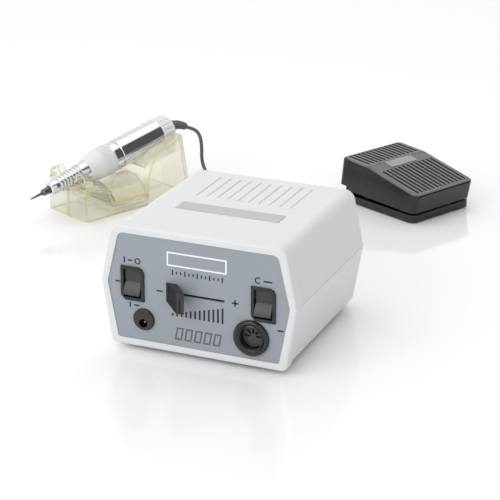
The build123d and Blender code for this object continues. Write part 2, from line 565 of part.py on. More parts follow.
def make_pedal():
    half, wall = PEDAL_HALF, PEDAL_WALL
    base = rounded_block((0, -half, 1.2), (PEDAL_LENGTH, half, PEDAL_BASE_Z), 6.0)
    base -= rounded_block((wall, -half + wall, 3.4), (PEDAL_LENGTH - wall, half - wall, 20), 4.0)
    pivot_u, pivot_z = PEDAL_PIVOT_U, PEDAL_PIVOT_Z
    for v in (-26, 26):
        base += box_between((pivot_u - 3, v - 2, 3), (pivot_u + 3, v + 2, pivot_z + 3))
    base -= rod(pivot_u, -half, pivot_z, PEDAL_PIN_R, 2 * half, "y")
    base += rod(66, 0, 3, 3.0, 5.0)
    foot_places = [(u, v) for u in (12, 80) for v in (-27, 27)]
    for u, v in foot_places:
        base -= rod(u, v, 0, 6.0, 1.7)
    screw_places = [(30, -20), (30, 20), (74, -20), (74, 20)]
    for u, v in screw_places:
        base -= rod(u, v, 0, 1.6, 5)
        base -= rod(u, v, 0, 3.0, 2.0)
    base -= rod(GLAND_U, -half - 4, GLAND_Z, 2.05, 8, "y")
    parts["pedal_base"] = PEDAL * base
    parts["pedal_pin"] = PEDAL * rod(pivot_u, -30, pivot_z, PEDAL_PIN_R - 0.02, 60, "y")
    parts["pedal_treadle"] = PEDAL * treadle()
    slope = Plane(origin=(TREADLE_BAND_U, 0, TREADLE_BAND_Z), x_dir=(87.0, 0, 18.1), z_dir=(-18.1, 0, 87.0))
    parts["pedal_label"] = PEDAL * (slope * Pos(0, 0, 0.26) * Box(10.0, 33, 0.5))
    parts["pedal_spring"] = PEDAL * (rod(66, 0, 3.42, 5.0, 27.8) - rod(66, 0, 3, 3.9, 30))
    switch = box_between((40, -10, 3.42), (56, 10, 19.0))
    switch -= rod(48, 0, 8, 2.05, 20)
    parts["pedal_switch"] = PEDAL * switch
    plunger = rod(48, 0, 14.2, 2.0, 20.0)
    parts["pedal_plunger"] = PEDAL * fillet(plunger.faces().sort_by(Axis.Z)[-1].edges(), 1.2)
    feet = [rod(u, v, 0, 5.9, 2.68 - 1.0) for u, v in foot_places]
    parts["pedal_feet"] = PEDAL * joined(feet)
    screws = [rod(u, v, 0.6, 2.9, 1.38) + rod(u, v, 1.9, 1.55, 6) for u, v in screw_places]
    parts["pedal_screws"] = PEDAL * joined(screws)
    gland = rod(GLAND_U, -half - 1, GLAND_Z, 2.0, 5, "y")
    gland += rod(GLAND_U, -half - 2, GLAND_Z, 3.0, 2.0, "y")
    parts["pedal_gland"] = PEDAL * (gland - rod(GLAND_U, -half - 6, GLAND_Z, 1.2, 20, "y"))


def treadle():
    """The upper shell: a ribbed top in two slopes over deep skirts."""
    half, wall = PEDAL_HALF + 0.4, PEDAL_WALL
    shell = treadle_form(0)
    top = shell.edges().filter_by(lambda e: (e @ 0.5).Z > 22)
    rim = top.filter_by(lambda e: abs((e @ 0.5).Y) > half - 4 or not 0 < (e @ 0.5).X < 88)
    shell = fillet(rim, 2.2)
    shell -= treadle_form(wall)
    # Lengthwise ribs, left standing between shallow channels
    count, pitch = 13, 5.1
    zones = [((1.0, 27.6), (44.5, 36.6)), ((61.0, 39.5), (87.0, 40.9))]
    for (u0, z0), (u1, z1) in zones:
        slope = math.degrees(math.atan2(z1 - z0, u1 - u0))
        length = math.hypot(u1 - u0, z1 - z0)
        for i in range(count):
            v = (i - (count - 1) / 2) * pitch
            middle = Pos((u0 + u1) / 2, v, (z0 + z1) / 2)
            shell -= middle * Rot(0, -slope, 0) * Box(length, 2.4, 1.8)
    for v in (-21, 21):
        low_corner = (PEDAL_PIVOT_U - 3, v - 2, PEDAL_PIVOT_Z - 3)
        lug = box_between(low_corner, (PEDAL_PIVOT_U + 3, v + 2, 28))
        shell += lug & treadle_form(0.6)
    bore = PEDAL_PIN_R + 0.03
    shell -= rod(PEDAL_PIVOT_U, -23.5, PEDAL_PIVOT_Z, bore, 47, "y")
    shell += rod(66, 0, 31.4, 5.2, 6.5)
    return shell


# ---------------------------------------------------------------- free cord
def stand_point(x, y, z):
    """A point given in the cradle's frame, in the object's frame."""
    return (STAND * Pos(x, y, z)).position


def cord_route():
    """The cord from the relief's end to the coil: a droop, a fall, and a run along the table."""
    start = (HANDPIECE * Location(relief_plane(1.0))).position + Vector(0.15, 0.3, -0.2)
    droop = [stand_point(150.8, 0, 49.8), stand_point(157.4, 0, 41.8), stand_point(159.0, -0.4, 30.4),
             stand_point(157.9, -1.2, 19.0)]
    landing = [Vector(-80.2, 165.8, 9.4), Vector(-72.2, 163.0, CORD_REST_Z)]
    spots = [(-54.8, 158.6), (-32.8, 146.8), (-13.3, 127.8), (9.2, 112.3), (36.2, 104.2)]
    table = [Vector(x, y, CORD_REST_Z) for x, y in spots]
    return [start] + droop + landing + table


def tail_route():
    """The short end from the coil's top row into the back of the plug."""
    return [Vector(65.9, 67.2, 8.8), Vector(69.6, 61.2, 8.3), Vector(73.2, 54.4, 7.9), Vector(*PLUG_AT)]


def corner_radii(route):
    """Each corner's radius: 0.45 of its shorter run, over the tangent of half its turn."""
    radii = []
    for before, here, after in zip(route, route[1:], route[2:]):
        turn = (here - before).get_angle(after - here)
        shorter = min((here - before).length, (after - here).length)
        radii.append(0.45 * shorter / math.tan(math.radians(turn / 2)))
    return radii


def tube(route, label):
    """A round cord along straight runs and tangent arcs, with its radii and volume printed."""
    radii = corner_radii(route)
    path = FilletPolyline(*route, radius=radii)
    section = Plane(origin=path @ 0, z_dir=path % 0) * Circle(CORD_D / 2)
    solid = sweep(section, path=path)
    expected = math.pi * CORD_D ** 2 / 4 * path.length
    print(label, "length", round(path.length, 1), "radii", [round(r, 1) for r in radii],
          "volume over expected", round(solid.volume / expected, 4))
    return solid


def make_cord():
    parts["handpiece_cord"] = tube(cord_route(), "handpiece_cord")
    parts["cord_tail"] = tube(tail_route(), "cord_tail")
    coil = rod(COIL_X, COIL_Y, COIL_Z, COIL_R + COIL_SIDE / 2, COIL_SIDE)
    coil -= rod(COIL_X, COIL_Y, COIL_Z - 1, COIL_R - COIL_SIDE / 2, COIL_SIDE + 2)
    parts["cord_coil"] = coil
    reach, gap, strap = COIL_SIDE / 2, 0.2, 0.55
    inside, outside = reach + gap, reach + gap + strap
    outer = box_between((-outside, -2, -outside), (outside, 2, outside))
    inner = box_between((-inside, -3, -inside), (inside, 3, inside))
    place = Pos(COIL_X, COIL_Y, COIL_Z + reach) * Rot(0, 0, 215) * Pos(COIL_R, 0, 0)
    parts["cord_tie"] = place * (outer - inner)
    plug = Pos(*PLUG_AT) * Rot(0, 0, PLUG_HEADING) * Pos(0.6, 0, 0)
    shell = turned((0, 0), (0, 2.8), (12, 3.8), (13, 6.2), (16, PLUG_R), (36, PLUG_R), (37, PLUG_R - 0.6),
                   (37, 0))
    shell -= turned((30, 0), (30, 6.55), (40, 6.55), (40, 0))
    parts["plug_shell"] = plug * shell
    sleeve = turned((30.02, 0), (30.02, 6.5), (46, 6.5), (46, 5.8), (34, 5.8), (34, 0))
    for i in range(5):
        angle = math.radians(i * 45)
        sleeve += rod(33.9, 4.0 * math.cos(angle), 4.0 * math.sin(angle), 0.7, 9, "x")
    parts["plug_sleeve"] = plug * sleeve


make_casing()
make_front()
make_controls()
make_sockets()
make_electronics()
make_handpiece()
make_cradle()
make_pedal()
make_cord()

for node, shape in parts.items():
    export_step(shape, "parts/" + node + ".step")
print(len(parts), "nodes")
loose = ("handpiece_cord", "cord_tail", "cord_coil", "cord_tie", "plug_shell", "plug_sleeve")
held = Compound(children=[shape for node, shape in parts.items() if node not in loose])
print("box without the cord", held.bounding_box())
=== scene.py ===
"""Electric nail drill on a table: control box, handpiece lying in its cradle, and foot pedal."""
import math

import bmesh
import bpy
from mathutils import Matrix, Quaternion, Vector
from mathutils.bvhtree import BVHTree


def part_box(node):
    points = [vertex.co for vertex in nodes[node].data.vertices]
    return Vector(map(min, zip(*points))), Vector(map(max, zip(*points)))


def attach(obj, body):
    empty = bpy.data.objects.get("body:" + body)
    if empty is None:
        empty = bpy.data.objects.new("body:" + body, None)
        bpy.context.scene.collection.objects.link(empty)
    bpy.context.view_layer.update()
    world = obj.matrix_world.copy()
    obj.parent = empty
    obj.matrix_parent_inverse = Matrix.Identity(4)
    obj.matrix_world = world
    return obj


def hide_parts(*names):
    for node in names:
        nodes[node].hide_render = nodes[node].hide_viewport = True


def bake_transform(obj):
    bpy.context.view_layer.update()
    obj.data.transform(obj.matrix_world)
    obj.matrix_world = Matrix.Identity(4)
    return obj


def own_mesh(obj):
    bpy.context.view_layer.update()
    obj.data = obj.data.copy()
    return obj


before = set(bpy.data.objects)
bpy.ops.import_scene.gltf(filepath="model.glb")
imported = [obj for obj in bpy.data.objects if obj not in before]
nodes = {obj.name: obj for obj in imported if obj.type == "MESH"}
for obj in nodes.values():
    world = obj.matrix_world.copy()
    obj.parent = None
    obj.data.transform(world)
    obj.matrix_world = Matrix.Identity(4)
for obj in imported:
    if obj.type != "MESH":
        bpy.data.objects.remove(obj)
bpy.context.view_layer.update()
bpy.ops.object.select_all(action="DESELECT")
MM = 0.001


# ---------------------------------------------------------------- camera, table and light
# The set stands on a white gloss table under one large overhead softbox, with a smaller one in
# front, to the left. The camera looks down on it from the front right with a long portrait lens.
CAMERA_AZIMUTH, CAMERA_ELEVATION, CAMERA_ROLL = 22.6, 20.73, 0.32
CAMERA_DISTANCE, CAMERA_LENS = 1.232, 122.1
CAMERA_TARGET = Vector((102.2, -159.3, 68.6)) * MM

azimuth, elevation = math.radians(CAMERA_AZIMUTH), math.radians(CAMERA_ELEVATION)
backward = Vector((math.sin(azimuth) * math.cos(elevation), -math.cos(azimuth) * math.cos(elevation),
                   math.sin(elevation)))
camera_data = bpy.data.cameras.new("camera")
camera_data.lens, camera_data.sensor_width = CAMERA_LENS, 36.0
camera_data.clip_start, camera_data.clip_end = 0.05, 50.0
camera = bpy.data.objects.new("camera", camera_data)
camera.location = CAMERA_TARGET + backward * CAMERA_DISTANCE
camera.rotation_mode = "QUATERNION"
camera.rotation_quaternion = ((-backward).to_track_quat("-Z", "Y")
                              @ Quaternion((0, 0, 1), math.radians(CAMERA_ROLL)))
bpy.context.scene.collection.objects.link(camera)
bpy.context.scene.camera = camera


def softbox(name, place, aim, width, height, power):
    """A rectangular area light that faces a point."""
    light_data = bpy.data.lights.new(name, "AREA")
    light_data.shape, light_data.size, light_data.size_y = "RECTANGLE", width, height
    light_data.energy = power
    light = bpy.data.objects.new(name, light_data)
    light.location = Vector(place)
    light.rotation_mode = "QUATERNION"
    light.rotation_quaternion = (Vector(aim) - Vector(place)).to_track_quat("-Z", "Y")
    bpy.context.scene.collection.objects.link(light)


softbox("overhead_softbox", (-0.25, 0.25, 1.5), (0, 0, 0), 1.8, 1.4, 3)
softbox("front_softbox", (-0.6, -1.6, 1.0), (0, 0, 0.05), 1.2, 0.8, 8)

# The room is white all round, but for a tall dark doorway on the right
ROOM_WHITE, ROOM_DARK, DOORWAY = 0.99, 0.10, math.radians(101)
studio = bpy.data.worlds.new("white_studio")
studio.use_nodes = True
room = studio.node_tree
outward = room.nodes.new("ShaderNodeTexCoord")


def towards(x, y, z, start, end):
    """Ramps from 0 to 1 as the cosine of the angle to a direction goes from start to end."""
    across = room.nodes.new("ShaderNodeVectorMath")
    across.operation = "DOT_PRODUCT"
    across.inputs[1].default_value = (x, y, z)
    ramp = room.nodes.new("ShaderNodeMapRange")
    ramp.interpolation_type = "SMOOTHSTEP"
    ramp.inputs["From Min"].default_value, ramp.inputs["From Max"].default_value = start, end
    room.links.new(outward.outputs["Generated"], across.inputs[0])
    room.links.new(across.outputs["Value"], ramp.inputs["Value"])
    return ramp.outputs["Result"]


right, back = (math.sin(DOORWAY), -math.cos(DOORWAY)), (math.cos(DOORWAY), math.sin(DOORWAY))
darkness = towards(*right, 0, 0.0, 0.3)
for limit in (towards(*back, 0, 0.34, 0.26), towards(-back[0], -back[1], 0, 0.30, 0.22),
              towards(0, 0, 1, 0.90, 0.80)):
    product = room.nodes.new("ShaderNodeMath")
    product.operation = "MULTIPLY"
    room.links.new(darkness, product.inputs[0])
    room.links.new(limit, product.inputs[1])
    darkness = product.outputs["Value"]
level = room.nodes.new("ShaderNodeMapRange")
level.inputs["To Min"].default_value, level.inputs["To Max"].default_value = ROOM_WHITE, ROOM_DARK
room.links.new(darkness, level.inputs["Value"])
room.links.new(level.outputs["Result"], room.nodes["Background"].inputs["Strength"])
room.nodes["Background"].inputs["Color"].default_value = (1, 1, 1, 1)
bpy.context.scene.world = studio
bpy.context.scene.view_settings.view_transform = "Standard"

bpy.ops.mesh.primitive_plane_add(size=8.0, location=(0, 0, 0))
table = bpy.context.object
table.name = "table"
table_white = bpy.data.materials.new("table_white")
table_white.use_nodes = True
table_shader = table_white.node_tree.nodes["Principled BSDF"]
table_shader.inputs["Base Color"].default_value = (0.95, 0.95, 0.955, 1)
table_shader.inputs["Roughness"].default_value = 0.10
table.data.materials.append(table_white)
bpy.ops.object.select_all(action="DESELECT")


# ---------------------------------------------------------------- handpiece cord
# A round PVC cord, 3.4 mm thick and 1.3 m long. It droops out of the handpiece's sleeve, falls
# behind the cradle and runs along the table to a tied coil of nine turns behind the box, where
# the spare length is put away, then a short end goes into the plug.
CORD_DIAMETER = 3.4 * MM
CORD_REST = CORD_DIAMETER / 2 + 0.02 * MM
CRADLE_FRONT, CRADLE_HEADING = Vector((-148.8, 23.1, 0)) * MM, math.radians(66)
NOSE_AT, HANDPIECE_TILT = Vector((-22.5, 0, 28.1)) * MM, math.radians(12)
RELIEF_START, RELIEF_RADIUS, RELIEF_TURN = 144 * MM, 27.5 * MM, math.radians(45)
CRADLE = Matrix.Translation(CRADLE_FRONT) @ Matrix.Rotation(CRADLE_HEADING, 4, "Z")
HANDPIECE = CRADLE @ Matrix.Translation(NOSE_AT) @ Matrix.Rotation(-HANDPIECE_TILT, 4, "Y")


def on_cradle(x, y, z):
    """A point in millimetres from the cradle's front edge, in the object's frame."""
    return CRADLE @ (Vector((x, y, z)) * MM)


relief_end = HANDPIECE @ Vector((RELIEF_START + RELIEF_RADIUS * math.sin(RELIEF_TURN), 0,
                                 -RELIEF_RADIUS * (1 - math.cos(RELIEF_TURN))))
fall = [relief_end, on_cradle(150.8, 0, 49.8), on_cradle(157.4, 0, 41.8), on_cradle(159.0, -0.4, 30.4),
        on_cradle(157.9, -1.2, 19.0), Vector((-80.2, 165.8, 9.4)) * MM]
on_table = [Vector((x, y, CORD_REST / MM)) * MM for x, y in (
    (-72.2, 163.0), (-54.8, 158.6), (-32.8, 146.8), (-13.3, 127.8), (9.2, 112.3), (36.2, 104.2))]

COIL_CENTRE = Vector((42.2, 76.8, 0)) * MM
COIL_ROWS = ((22.4, 19.0, 15.6), (15.6, 19.0, 22.4), (22.4, 19.0, 15.6))
COIL_FIRST_ANGLE, ROW_RISE, POINTS_PER_TURN, STEP_OVER = math.radians(84), 3.45, 16, 0.25


def around_coil(angle, radius, height):
    """A point beside the coil's centre, from an angle and millimetres."""
    return COIL_CENTRE + Vector((radius * math.cos(angle), radius * math.sin(angle), height)) * MM


def coil_turns():
    """Nine turns: three flat rows of three, wound inwards, outwards and inwards again."""
    radii = [(radius, row) for row, radii in enumerate(COIL_ROWS) for radius in radii]
    points = []
    for turn, (radius, row) in enumerate(radii):
        next_radius, next_row = radii[min(turn + 1, len(radii) - 1)]
        for step in range(POINTS_PER_TURN):
            share = step / POINTS_PER_TURN
            crossing = max(0.0, share - 1 + STEP_OVER) / STEP_OVER
            angle = COIL_FIRST_ANGLE - math.tau * (turn + share)
            height = ROW_RISE * (row + crossing * (next_row - row))
            points.append(around_coil(angle, radius + crossing * (next_radius - radius), 1.78 + height))
    return points


over_coil = [around_coil(math.radians(a), r, z) for a, r, z in (
    (84, 15.6, 8.7), (55, 15.7, 9.4), (26, 17.2, 11.6), (0, 20.6, 12.8), (-20, 26.0, 11.6))]
into_plug = [Vector(p) * MM for p in ((69.6, 61.2, 8.9), (73.2, 54.4, 7.9), (80.9, 42.9, 7.82))]

bpy.ops.curve.primitive_nurbs_path_add()
cord_line = bpy.context.object
cord_line.name = "cord_line"
cord_line.data.splines.clear()
spline = cord_line.data.splines.new("NURBS")
route = fall + on_table + coil_turns() + over_coil + into_plug
spline.points.add(len(route) - 1)
for point, place in zip(spline.points, route):
    point.co = (*place, 1.0)
spline.order_u = 3
spline.use_endpoint_u = True
cord_line.data.resolution_u = 6
bare_line = bpy.data.meshes.new_from_object(cord_line)
cord_line.data.bevel_depth = CORD_DIAMETER / 2
cord_line.data.bevel_resolution = 3
cord_line.data.use_fill_caps = True
bpy.ops.object.convert(target="MESH")
handpiece_cord = bpy.context.object
handpiece_cord.name = "cord"
bpy.ops.object.shade_smooth()
bpy.ops.object.select_all(action="DESELECT")
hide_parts("handpiece_cord", "cord_coil", "cord_tail")
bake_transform(handpiece_cord)


def finish(name, colour, roughness, grain=(900.0, 0.005), cloud=(18.0, 0.03), smudge=(60.0, 0.03),
           **shader_values):
    """A procedural finish: fine surface grain, slow colour drift and handling marks in the gloss."""
    material = bpy.data.materials.new(name)
    material.use_nodes = True
    tree = material.node_tree
    shader = tree.nodes["Principled BSDF"]
    for key, value in shader_values.items():
        shader.inputs[key.replace("_", " ")].default_value = value
    place = tree.nodes.new("ShaderNodeTexCoord")

    def noise(scale, detail):
        texture = tree.nodes.new("ShaderNodeTexNoise")
        texture.inputs["Scale"].default_value = scale
        texture.inputs["Detail"].default_value = detail
        tree.links.new(place.outputs["Object"], texture.inputs["Vector"])
        return texture.outputs["Fac"]

    def between(source, low, high):
        ramp = tree.nodes.new("ShaderNodeMapRange")
        ramp.inputs["From Min"].default_value, ramp.inputs["From Max"].default_value = 0.3, 0.7
        ramp.inputs["To Min"].default_value, ramp.inputs["To Max"].default_value = low, high
        tree.links.new(source, ramp.inputs["Value"])
        return ramp.outputs["Result"]

    mix = tree.nodes.new("ShaderNodeMix")
    mix.data_type = "RGBA"
    mix.inputs[6].default_value = (*[c * (1 - cloud[1]) for c in colour], 1)
    mix.inputs[7].default_value = (*[min(1.0, c * (1 + cloud[1])) for c in colour], 1)
    tree.links.new(between(noise(cloud[0], 3.0), 0.0, 1.0), mix.inputs["Factor"])
    tree.links.new(mix.outputs[2], shader.inputs["Base Color"])
    tree.links.new(between(noise(smudge[0], 4.0), roughness - smudge[1], roughness + smudge[1]),
                   shader.inputs["Roughness"])
    bump = tree.nodes.new("ShaderNodeBump")
    bump.inputs["Distance"].default_value = grain[1] * MM
    bump.inputs["Strength"].default_value = 1.0
    tree.links.new(noise(grain[0], 2.0), bump.inputs["Height"])
    tree.links.new(bump.outputs["Normal"], shader.inputs["Normal"])
    return material


def dress(material, *names):
    """Gives CAD nodes their finish."""
    for name in names:
        nodes[name].data.materials.clear()
        nodes[name].data.materials.append(material)


def alone(piece):
    """Selects one object and makes it active."""
    bpy.ops.object.select_all(action="DESELECT")
    piece.select_set(True)
    bpy.context.view_layer.objects.active = piece


FARTHEST_OFF = 0.6


def eased(piece, width, segments=2, sharp=30, edge_slot=-1, clamp=True):
    """Rounds over the corners of a piece and evens its shading, and pulls stray corners back to it."""
    alone(piece)
    mesh = piece.data
    before = BVHTree.FromPolygons([v.co for v in mesh.vertices], [f.vertices[:] for f in mesh.polygons])
    bevel = piece.modifiers.new("eased_corners", "BEVEL")
    bevel.width, bevel.segments, bevel.angle_limit = width * MM, segments, math.radians(sharp)
    bevel.material, bevel.use_clamp_overlap = edge_slot, clamp
    bpy.ops.object.modifier_apply(modifier=bevel.name)
    for vertex in piece.data.vertices:
        nearest, _, _, gap = before.find_nearest(vertex.co)
        if gap > width * MM * FARTHEST_OFF:
            vertex.co = nearest
    bpy.ops.object.shade_smooth_by_angle(angle=math.radians(35))
    weighted = piece.modifiers.new("even_shading", "WEIGHTED_NORMAL")
    weighted.keep_sharp = True
    bpy.ops.object.modifier_apply(modifier=weighted.name)
    piece.select_set(False)
    return piece


def stands_for(piece, node, body, slot_name, *materials):
    """Hangs a finished piece on its body in place of a CAD node."""
    slots = [face.material_index for face in piece.data.polygons]
    piece.data.materials.clear()
    for material in materials:
        piece.data.materials.append(material)
    for face, slot in zip(piece.data.polygons, slots):
        face.material_index = min(slot, len(materials) - 1)
    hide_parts(node)
    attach(piece, body)


def softened(node, name, width, segments=2, sharp=30, edge_slot=-1, clamp=True):
    """A merged copy of a CAD node with its corners rounded over."""
    piece = bpy.data.objects.new(name, nodes[node].data.copy())
    bpy.context.scene.collection.objects.link(piece)
    alone(piece)
    if edge_slot > 0:
        piece.data.materials.append(None)
    if piece.data.has_custom_normals:
        bpy.ops.mesh.customdata_custom_splitnormals_clear()
    bpy.ops.object.mode_set(mode="EDIT")
    bpy.ops.mesh.select_all(action="SELECT")
    bpy.ops.mesh.remove_doubles(threshold=0.002 * MM)
    bpy.ops.mesh.dissolve_limited(angle_limit=math.radians(0.4))
    bpy.ops.object.mode_set(mode="OBJECT")
    return eased(piece, width, segments, sharp, edge_slot, clamp)


cord_pvc = finish("cord_pvc", (0.12, 0.118, 0.115), 0.42, grain=(2600.0, 0.0033), cloud=(40.0, 0.10))
handpiece_cord.data.materials.append(cord_pvc)
dress(finish("tie_nylon", (0.02, 0.02, 0.021), 0.4), "cord_tie")


# ---------------------------------------------------------------- casing
# Two white ABS half shells that meet at mid height, held by four long screws from below. Their
# faces come from a fine spark-eroded mould, so the gloss is soft, and ten shallow vent grooves
# run along the top behind a printed aluminium label.
CASE_WHITE = (0.70, 0.705, 0.715)
SEAM_EASE, LIP_EASE = 0.5, 0.35
case_abs = finish("case_abs", CASE_WHITE, 0.36, grain=(2300.0, 0.0016), cloud=(9.0, 0.012),
                  smudge=(60.0, 0.04), Specular_IOR_Level=0.45, Coat_Weight=0.12, Coat_Roughness=0.18)
upper_shell = softened("upper_case", "upper_shell", SEAM_EASE, 3, clamp=False)
stands_for(upper_shell, "upper_case", "root", "case_white", case_abs)
lower_shell = softened("lower_case", "lower_shell", SEAM_EASE, 2, clamp=False)
stands_for(lower_shell, "lower_case", "root", "case_white", case_abs)
stands_for(softened("front_bezel", "front_ring", LIP_EASE, 3), "front_bezel", "root", "case_white", case_abs)
dress(finish("label_foil", (0.47, 0.485, 0.50), 0.36, grain=(5200.0, 0.002), cloud=(60.0, 0.03),
             Metallic=0.25), "top_label")
dress(finish("foot_rubber", (0.022, 0.022, 0.022), 0.75, grain=(1800.0, 0.0083)), "case_feet", "pedal_feet")
zinc_steel = finish("zinc_steel", (0.55, 0.55, 0.56), 0.34, grain=(1500.0, 0.0033), Metallic=1.0)
dress(zinc_steel, "case_screws", "pedal_screws", "pedal_pin", "collet_spring", "spindle_shaft",
      "spindle_bearings", "motor_can")


# ---------------------------------------------------------------- back outlets
# A soft black grommet holds the mains lead in the back wall, beside a screw-cap fuse holder.
outlet_black = finish("outlet_black", (0.02, 0.02, 0.021), 0.38, grain=(1600.0, 0.004))
dress(outlet_black, "mains_gland", "fuse_holder", "pedal_gland")


# ---------------------------------------------------------------- electronics
# A laminated transformer feeds a small board that drives the handpiece. All of it is closed in
# by the casing, and shows only when the shells are apart.
dress(finish("core_varnish", (0.10, 0.095, 0.09), 0.35, grain=(900.0, 0.0083), Metallic=0.6),
      "transformer_core", "motor_magnets")
dress(finish("copper_winding", (0.62, 0.26, 0.10), 0.3, grain=(1400.0, 0.0167), Metallic=0.9),
      "transformer_coil", "motor_rotor")
dress(finish("board_laminate", (0.03, 0.16, 0.07), 0.35, cloud=(80.0, 0.10)), "circuit_board")
dress(finish("capacitor_sleeve", (0.02, 0.03, 0.09), 0.22), "board_capacitors")
dress(finish("mill_aluminium", (0.62, 0.63, 0.65), 0.35, grain=(700.0, 0.005), Metallic=1.0),
      "heat_sink", "barrel_liner")
dress(finish("chip_epoxy", (0.02, 0.02, 0.02), 0.5), "drive_transistor", "brush_holder", "shaft_coupling",
      "pedal_switch", "slide_pot_body")


# ---------------------------------------------------------------- front panel and its print
# A blue-grey sheet with a satin film, let into the front ring. Its print is thin ink: a white
# frame, a speed scale of twelve bars that grow to the right, and plain marks for the controls.
panel_low, panel_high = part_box("front_panel")
PANEL_X, PANEL_FRONT = (panel_low.x + panel_high.x) / 2, panel_low.y
INK_THICKNESS = 0.05 * MM
SCALE_BARS, SCALE_HALF, SCALE_FOOT, SCALE_LOW, SCALE_HIGH, BAR_WIDTH = 12, 19.4, 32.4, 1.8, 11.7, 1.5
dress(finish("panel_film", (0.300, 0.326, 0.360), 0.40, grain=(3000.0, 0.002), cloud=(14.0, 0.012)),
      "front_panel")
ink_white = finish("ink_white", (0.86, 0.87, 0.88), 0.45)
ink_black = finish("ink_black", (0.012, 0.012, 0.014), 0.45)
ink_grey = finish("ink_grey", (0.11, 0.115, 0.125), 0.45)


def choose(rule):
    """In edit mode, selects just the faces whose centre and normal pass a rule."""
    mesh = bmesh.from_edit_mesh(bpy.context.object.data)
    bpy.ops.mesh.select_mode(type="FACE")
    for face in mesh.faces:
        face.select_set(bool(rule(face.calc_center_median(), face.normal)))
    mesh.select_flush_mode()
    bmesh.update_edit_mesh(bpy.context.object.data)


def ink_plane(x, z, width, height):
    """Starts a flat ink mark on the panel, in edit mode, from its middle and size in millimetres."""
    bpy.ops.object.select_all(action="DESELECT")
    bpy.ops.mesh.primitive_plane_add(size=1, rotation=(math.pi / 2, 0, 0),
                                     location=(PANEL_X + x * MM, PANEL_FRONT, z * MM))
    bpy.ops.transform.resize(value=(width * MM, 1, height * MM))
    bpy.ops.object.transform_apply()
    bpy.ops.object.mode_set(mode="EDIT")


def cut_out_middle(line):
    """Leaves only an outline of the selected ink mark."""
    bpy.ops.mesh.inset(thickness=line * MM)
    bpy.ops.mesh.delete(type="FACE")


def ink_thickness():
    """Gives the mark its thickness and closes it."""
    bpy.ops.mesh.select_all(action="SELECT")
    bpy.ops.mesh.extrude_region_move(TRANSFORM_OT_translate={"value": (0, -INK_THICKNESS, 0)})
    bpy.ops.mesh.select_all(action="SELECT")
    bpy.ops.mesh.normals_make_consistent(inside=False)
    bpy.ops.object.mode_set(mode="OBJECT")
    return bpy.context.object


def printed(name, marks, ink):
    """Joins ink marks into one print on the panel."""
    bpy.ops.object.select_all(action="DESELECT")
    for mark in marks:
        mark.select_set(True)
    bpy.context.view_layer.objects.active = marks[0]
    if len(marks) > 1:
        bpy.ops.object.join()
    sheet = bpy.context.object
    sheet.name = name
    sheet.data.materials.clear()
    sheet.data.materials.append(ink)
    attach(sheet, "root")
    bpy.ops.object.select_all(action="DESELECT")


def ink_bar(x, z, width, height, corner=0.25):
    """A solid bar with eased corners."""
    ink_plane(x, z, width, height)
    bpy.ops.mesh.bevel(offset=corner * MM, segments=3, affect="VERTICES")
    return ink_thickness()


def ink_frame(x, z, width, height, line, lean=0.0):
    """An outlined box, its top shifted sideways by its lean."""
    ink_plane(x, z, width, height)
    if lean:
        bpy.ops.mesh.select_all(action="DESELECT")
        mesh = bmesh.from_edit_mesh(bpy.context.object.data)
        for vertex in mesh.verts:
            vertex.select_set(vertex.co.z > z * MM)
        bpy.ops.transform.translate(value=(lean * MM, 0, 0))
        bpy.ops.mesh.select_all(action="SELECT")
    cut_out_middle(line)
    return ink_thickness()


def ink_ring(x, z, radius, line, opening=0.0):
    """A ring, or an open arc where an opening angle is given, its gap at the right."""
    bpy.ops.object.select_all(action="DESELECT")
    bpy.ops.mesh.primitive_circle_add(vertices=32, radius=radius * MM, fill_type="NOTHING",
                                      rotation=(math.pi / 2, 0, 0),
                                      location=(PANEL_X + x * MM, PANEL_FRONT, z * MM))
    bpy.ops.object.transform_apply()
    bpy.ops.object.mode_set(mode="EDIT")
    bpy.ops.mesh.extrude_region()
    share = 1 - line / radius
    bpy.ops.transform.resize(value=(share, 1, share), center_override=(PANEL_X + x * MM, PANEL_FRONT, z * MM))
    centre = Vector((PANEL_X + x * MM, PANEL_FRONT, z * MM))
    if opening:
        choose(lambda c, n: abs(math.atan2(c.z - centre.z, c.x - centre.x)) < opening / 2)
        bpy.ops.mesh.delete(type="FACE")
    return ink_thickness()


printed("window_frame", [ink_frame(-0.5, 75.4, 46.2, 10.7, 1.15)], ink_white)
bars = []
for bar in range(SCALE_BARS):
    share = bar / (SCALE_BARS - 1)
    height = SCALE_LOW + share * (SCALE_HIGH - SCALE_LOW)
    bars.append(ink_bar(SCALE_HALF * (2 * share - 1), SCALE_FOOT + height / 2, BAR_WIDTH, height))
printed("speed_scale", bars, ink_black)
printed("scale_ends", [ink_bar(-29.5, 49.6, 5.0, 1.2), ink_bar(29.0, 49.6, 5.0, 1.2),
                       ink_bar(29.0, 49.6, 1.2, 5.0)], ink_black)
printed("travel_ticks", [ink_bar(-19.2 + 3.2 * i, 65.4, 1.0, 2.2 if i % 3 else 4.0) for i in range(13)],
        ink_black)
printed("power_marks", [
    ink_bar(-57.0, 69.6, 1.2, 4.6), ink_bar(-52.6, 69.6, 3.2, 1.2), ink_ring(-46.6, 69.6, 2.4, 0.9),
    ink_bar(-62.6, 52.2, 4.0, 1.2), ink_bar(-53.0, 35.6, 1.2, 4.0), ink_bar(-48.0, 35.6, 4.4, 1.2)],
    ink_black)
printed("direction_marks", [
    ink_ring(46.2, 69.6, 2.5, 0.95, math.radians(100)), ink_bar(53.6, 69.6, 6.6, 1.3),
    ink_ring(57.4, 34.4, 2.3, 0.95, math.radians(100)), ink_bar(63.4, 34.4, 4.6, 1.3)], ink_black)
printed("level_blocks", [ink_frame(-15.2 + i * 7.4, 19.0, 5.6, 9.6, 1.25, lean=1.8) for i in range(5)],
        ink_grey)


